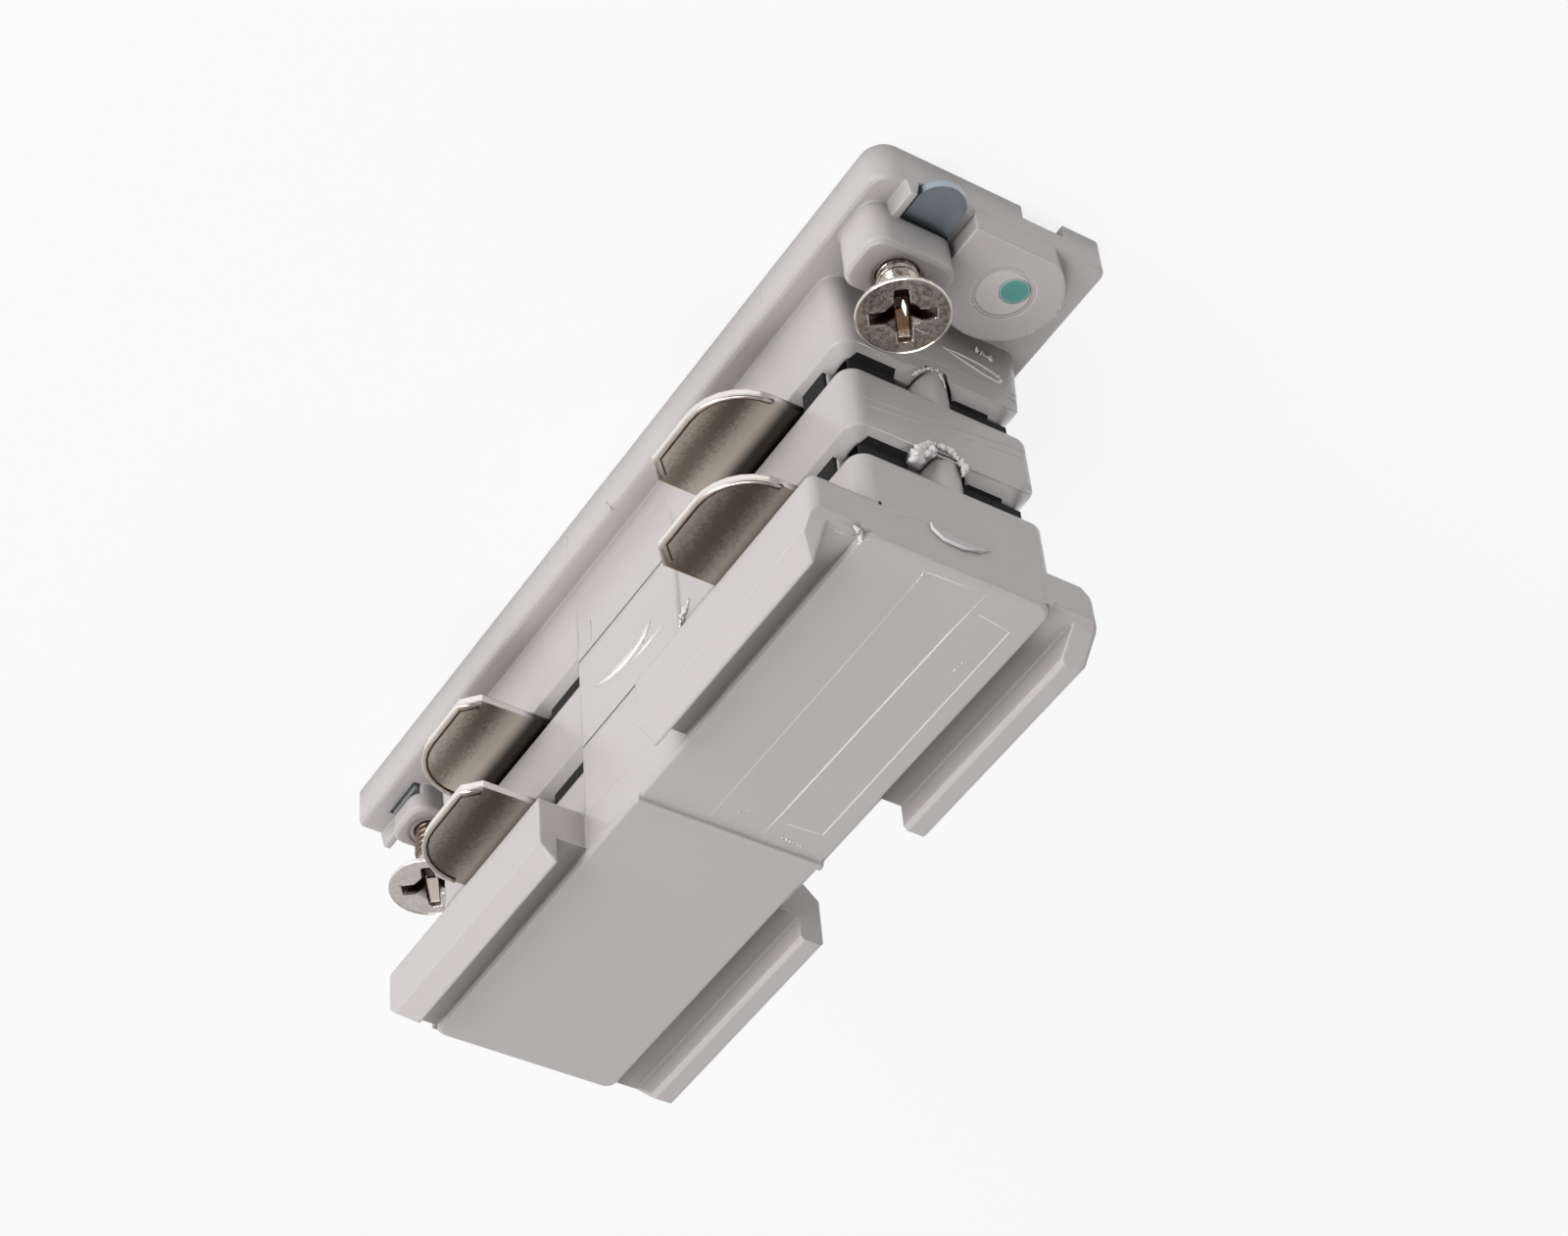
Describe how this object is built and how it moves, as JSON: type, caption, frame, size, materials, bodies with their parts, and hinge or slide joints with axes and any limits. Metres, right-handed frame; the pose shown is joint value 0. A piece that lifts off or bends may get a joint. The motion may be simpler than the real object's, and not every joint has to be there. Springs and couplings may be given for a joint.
{
  "type": "track connector",
  "caption": "Straight grey connector that joins two lengths of lighting track: stacked insulating housings, side contact tongues and a clamp screw at each end.",
  "frame": {"origin": "middle of the underside of the back plate, on the surface that the connector lies on", "axes": "+Z from the back plate to the lettering face, X along the track with -X at the end nearer the camera, -Y the long side that shows in the picture"},
  "size_m": [0.0848, 0.0306, 0.0345],
  "materials": {
    "back_plastic": "satin moulded grey",
    "middle_plastic": "satin moulded grey",
    "front_plastic": "satin moulded grey",
    "plug_plastic": "satin moulded grey",
    "contact_metal": "nickel plated",
    "screw_metal": "nickel plated",
    "zinc_metal": "zinc plated",
    "earth_metal": "dark tarnished",
    "marker": "flat print"
  },
  "bodies": {
    "connector": {"back_housing": "back_plastic", "middle_insulator": "middle_plastic", "front_housing": "front_plastic", "phase_conductor_1": "contact_metal", "phase_conductor_2": "contact_metal", "phase_conductor_3": "contact_metal", "neutral_conductor": "contact_metal", "earth_bar": "earth_metal", "near_round_plug": "plug_plastic", "far_round_plug": "plug_plastic", "earth_marker_dot": "marker"},
    "near_screw": {"near_clamp_screw": "screw_metal"},
    "far_screw": {"far_clamp_screw": "screw_metal"},
    "near_nut": {"near_nut_plate": "zinc_metal"},
    "far_nut": {"far_nut_plate": "zinc_metal"}
  },
  "joints": [
    {"name": "near_screw_turn", "type": "hinge", "parent": "connector", "child": "near_screw", "pos_m": [-0.0365, -0.00605, 0], "axis": [0, 0, -1], "range_deg": [0, 180]},
    {"name": "far_screw_turn", "type": "hinge", "parent": "connector", "child": "far_screw", "pos_m": [0.0365, -0.00605, 0], "axis": [0, 0, -1], "range_deg": [0, 180]},
    {"name": "near_nut_lift", "type": "slide", "parent": "connector", "child": "near_nut", "axis": [0, 0, 1], "range_m": [0, 0.0003]},
    {"name": "far_nut_lift", "type": "slide", "parent": "connector", "child": "far_nut", "axis": [0, 0, 1], "range_m": [0, 0.0003]}
  ],
  "couplings": [
    {"joint": "near_screw_turn", "follows": "near_nut_lift", "rad_per_m": 10472},
    {"joint": "far_screw_turn", "follows": "far_nut_lift", "rad_per_m": 10472}
  ]
}
